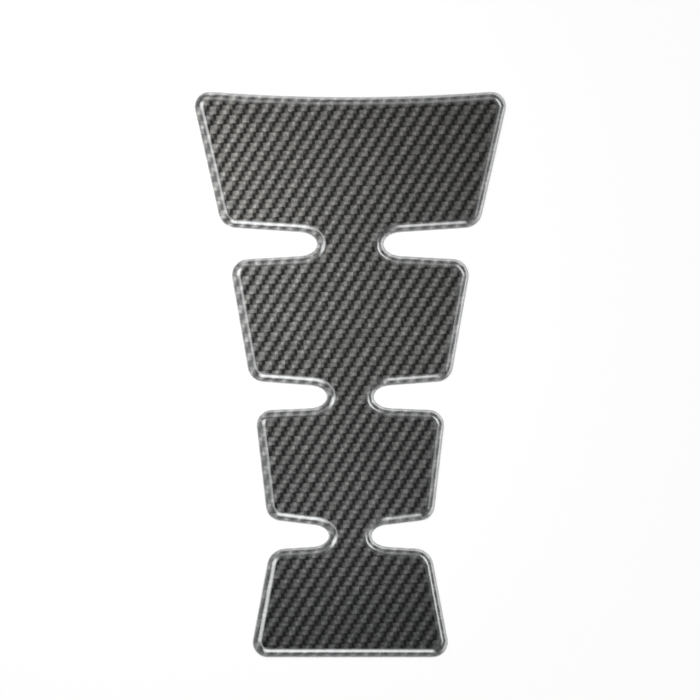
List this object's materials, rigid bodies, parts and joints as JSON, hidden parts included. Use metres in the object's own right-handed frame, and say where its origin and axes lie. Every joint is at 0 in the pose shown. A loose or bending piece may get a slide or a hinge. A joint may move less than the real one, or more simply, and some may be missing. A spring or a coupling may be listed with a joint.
{
  "type": "motorcycle tank pad",
  "caption": "Flat self-adhesive tank pad with tapered lobes on a narrow spine, a printed carbon weave and a clear domed resin face.",
  "frame": {"origin": "on the adhesive back, in the middle of the pad's bounding box", "axes": "+Z out of the domed resin face, +Y along the spine towards the widest lobe with the hollow edge, +X to the right when the resin face is looked at with that lobe at the top"},
  "size_m": [0.12, 0.2178, 0.002],
  "materials": {
    "black_vinyl": "satin",
    "grey_ink": "satin",
    "clear_resin": "high gloss, water clear"
  },
  "bodies": {
    "root": {"vinyl_film": "black_vinyl", "carbon_print": "grey_ink", "resin_dome": "clear_resin"}
  },
  "joints": []
}
